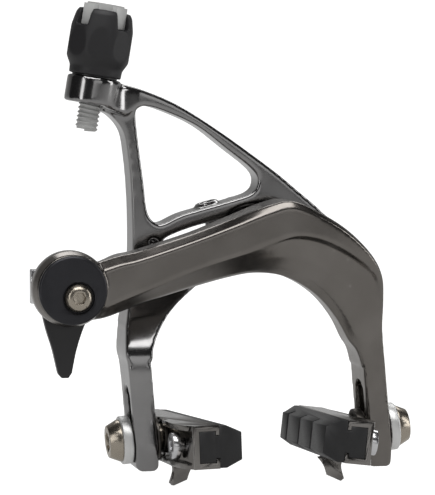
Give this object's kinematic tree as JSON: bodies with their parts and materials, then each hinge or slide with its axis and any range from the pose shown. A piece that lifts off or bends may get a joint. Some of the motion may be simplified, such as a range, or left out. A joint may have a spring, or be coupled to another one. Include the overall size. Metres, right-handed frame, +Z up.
{
  "type": "rim brake caliper",
  "caption": "Dual-pivot side-pull bicycle rim brake caliper with slotted arms, cartridge pads, barrel adjuster and cable quick release.",
  "frame": {"origin": "centre bolt axis at the plane where the serrated washer meets the fork crown or brake bridge", "axes": "+Y along the mounting bolt towards the fork, +Z up, +X to the right of a viewer in front of the caliper"},
  "size_m": [0.0917, 0.0633, 0.1121],
  "materials": {
    "anodised_alloy": "satin dark grey anodised over a polished forging",
    "polished_alloy": "polished smoke-grey anodised forging",
    "dark_alloy": "dark anodised, satin",
    "shoe_alloy": "polished grey anodised",
    "black_anodised": "black anodised, satin",
    "pale_washer": "tumbled, matt silver",
    "titanium": "machined titanium, satin",
    "zinc_steel": "bright zinc plated",
    "blackened_steel": "black oxide",
    "spring_steel": "drawn wire",
    "bronze": "sintered bronze",
    "slip_polymer": "plain moulded",
    "black_plastic": "moulded, fine grain",
    "grey_plastic": "moulded glass-filled nylon",
    "black_rubber": "moulded grip, matt",
    "pad_rubber": "moulded brake compound"
  },
  "bodies": {
    "bracket": {"centre_bolt": "blackened_steel", "seat_washer": "zinc_steel", "pivot_bracket": "dark_alloy", "side_pivot_bolt": "zinc_steel", "rear_thrust_washer": "slip_polymer", "front_thrust_washer": "slip_polymer", "return_spring": "spring_steel"},
    "front_arm": {"front_arm": "anodised_alloy", "centre_bush": "bronze", "retaining_ring": "spring_steel"},
    "rear_arm": {"rear_arm": "polished_alloy", "side_bush": "bronze", "link_pin": "zinc_steel", "spring_slider": "black_plastic", "detent_ring": "black_plastic"},
    "link_roller": {"link_roller": "black_plastic"},
    "centring_screw": {"centring_screw": "zinc_steel"},
    "adjuster_knob": {"adjuster_grip": "black_rubber", "adjuster_core": "grey_plastic"},
    "adjuster_barrel": {"adjuster_barrel": "grey_plastic"},
    "quick_release": {"release_disc": "black_anodised", "release_lever": "black_plastic", "anchor_bolt": "titanium", "clamp_washer": "zinc_steel", "anchor_nut": "dark_alloy"},
    "left_fixing": {"left_pad_bolt": "titanium", "left_outer_washer": "pale_washer", "left_cup_washer": "dark_alloy"},
    "left_shoe_unit": {"left_shoe": "shoe_alloy", "left_pad": "pad_rubber", "left_keeper_screw": "zinc_steel", "left_ball_washer": "dark_alloy"},
    "right_fixing": {"right_pad_bolt": "titanium", "right_outer_washer": "pale_washer", "right_cup_washer": "dark_alloy"},
    "right_shoe_unit": {"right_shoe": "shoe_alloy", "right_pad": "pad_rubber", "right_keeper_screw": "zinc_steel", "right_ball_washer": "dark_alloy"}
  },
  "joints": [
    {"name": "front_arm_pivot", "type": "hinge", "parent": "bracket", "child": "front_arm", "pos_m": [0, -0.03, 0], "axis": [0, 1, 0], "range_deg": [-5, 4], "stiffness_Nm_per_rad": 0.6, "springref_deg": -5},
    {"name": "rear_arm_pivot", "type": "hinge", "parent": "bracket", "child": "rear_arm", "pos_m": [0.014, -0.015, -0.0015], "axis": [0, 1, 0], "range_deg": [-4.3, 5.3]},
    {"name": "roller_spin", "type": "hinge", "parent": "rear_arm", "child": "link_roller", "pos_m": [0.007, -0.025, 0], "axis": [0, 1, 0], "continuous": true},
    {"name": "centring_turn", "type": "hinge", "parent": "rear_arm", "child": "centring_screw", "pos_m": [-0.01, -0.014, 0.004], "axis": [-0.2588, 0, 0.9659], "range_deg": [-180, 180]},
    {"name": "adjuster_turn", "type": "hinge", "parent": "rear_arm", "child": "adjuster_knob", "pos_m": [-0.0377, -0.0185, 0.0352], "axis": [0.165, 0, 0.9863], "range_deg": [0, 1080]},
    {"name": "barrel_rise", "type": "slide", "parent": "rear_arm", "child": "adjuster_barrel", "axis": [0.165, 0, 0.9863], "range_m": [0, 0.003]},
    {"name": "release_turn", "type": "hinge", "parent": "front_arm", "child": "quick_release", "pos_m": [-0.0461, -0.033, -0.0122], "axis": [0, 1, 0], "range_deg": [0, 150]},
    {"name": "left_pad_height", "type": "slide", "parent": "rear_arm", "child": "left_fixing", "axis": [-0.0872, 0, 0.9962], "range_m": [-0.0008, 0.0085]},
    {"name": "left_pad_pitch", "type": "hinge", "parent": "left_fixing", "child": "left_shoe_unit", "pos_m": [-0.0246, -0.021, -0.048], "axis": [0.9962, 0, 0.0872], "range_deg": [-6, 6]},
    {"name": "right_pad_height", "type": "slide", "parent": "front_arm", "child": "right_fixing", "axis": [-0.0872, 0, 0.9962], "range_m": [-0.0008, 0.0085]},
    {"name": "right_pad_pitch", "type": "hinge", "parent": "right_fixing", "child": "right_shoe_unit", "pos_m": [0.0258, -0.021, -0.048], "axis": [0.9962, 0, 0.0872], "range_deg": [-6, 6]}
  ],
  "couplings": [
    {"joint": "rear_arm_pivot", "follows": "front_arm_pivot", "ratio": -1.0323},
    {"joint": "barrel_rise", "follows": "adjuster_turn", "m_per_rad": 0.00015915}
  ]
}
